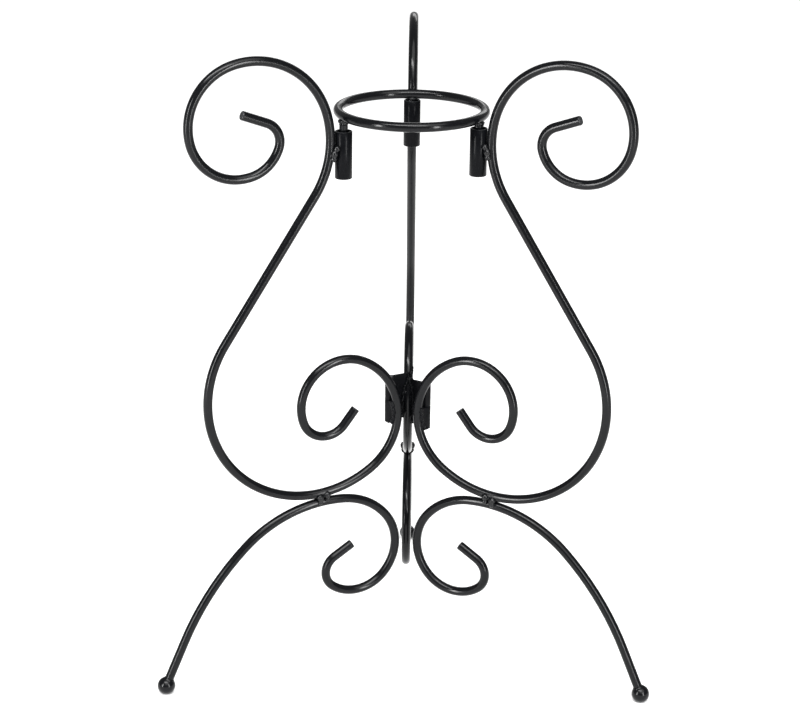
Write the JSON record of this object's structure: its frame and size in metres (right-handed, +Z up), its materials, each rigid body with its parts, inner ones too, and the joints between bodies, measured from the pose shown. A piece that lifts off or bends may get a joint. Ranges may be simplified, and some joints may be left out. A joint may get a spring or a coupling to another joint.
{
  "type": "folding tripod display stand",
  "caption": "Folding wrought-iron tripod display stand with scrolled round-bar legs, ball feet, butt hinges and a lift-off ring that locks the legs open.",
  "frame": {"origin": "on the floor, under the middle of the open stand's bounding box", "axes": "+Z up; the back leg points to +Y; the left leg is on the -X side and the right leg on the +X side, seen from the front"},
  "size_m": [0.3746, 0.2969, 0.485],
  "materials": {
    "powder_coat": "satin black powder coat over mild steel bar",
    "weld_coat": "black powder coat over rippled weld bead",
    "hinge_coat": "black coat over pressed steel butt hinge",
    "hinge_pin_steel": "black coated steel rivet pin"
  },
  "bodies": {
    "back_leg": {"back_scroll_rod": "powder_coat", "back_leg_rod": "powder_coat", "back_foot_ball": "powder_coat", "back_socket_tube": "powder_coat", "back_socket_weld": "weld_coat", "back_rod_weld": "weld_coat", "left_hinge_back_leaf": "hinge_coat", "left_hinge_pin": "hinge_pin_steel", "right_hinge_back_leaf": "hinge_coat", "right_hinge_pin": "hinge_pin_steel"},
    "left_leg": {"left_scroll_rod": "powder_coat", "left_leg_rod": "powder_coat", "left_foot_ball": "powder_coat", "left_socket_tube": "powder_coat", "left_socket_weld": "weld_coat", "left_rod_weld": "weld_coat", "left_hinge_front_leaf": "hinge_coat"},
    "right_leg": {"right_scroll_rod": "powder_coat", "right_leg_rod": "powder_coat", "right_foot_ball": "powder_coat", "right_socket_tube": "powder_coat", "right_socket_weld": "weld_coat", "right_rod_weld": "weld_coat", "right_hinge_front_leaf": "hinge_coat"},
    "ring": {"ring_hoop": "powder_coat", "ring_pin_back": "powder_coat", "ring_pin_weld_back": "weld_coat", "ring_pin_left": "powder_coat", "ring_pin_weld_left": "weld_coat", "ring_pin_right": "powder_coat", "ring_pin_weld_right": "weld_coat"}
  },
  "joints": [
    {"name": "right_leg_fold", "type": "hinge", "parent": "back_leg", "child": "right_leg", "pos_m": [0.0144, -0.05671, 0.2055], "axis": [0, 0, 1], "range_deg": [0, 115]},
    {"name": "left_leg_fold", "type": "hinge", "parent": "back_leg", "child": "left_leg", "pos_m": [-0.0144, -0.05671, 0.2105], "axis": [0, 0, 1], "range_deg": [-115, 0]},
    {"name": "ring_lift", "type": "slide", "parent": "back_leg", "child": "ring", "axis": [0, 0, 1], "range_m": [0, 0.6]}
  ],
  "couplings": [
    {"joint": "left_leg_fold", "follows": "right_leg_fold", "ratio": -1},
    {"joint": "ring_lift", "follows": "right_leg_fold", "m_per_rad": 0.2989}
  ]
}
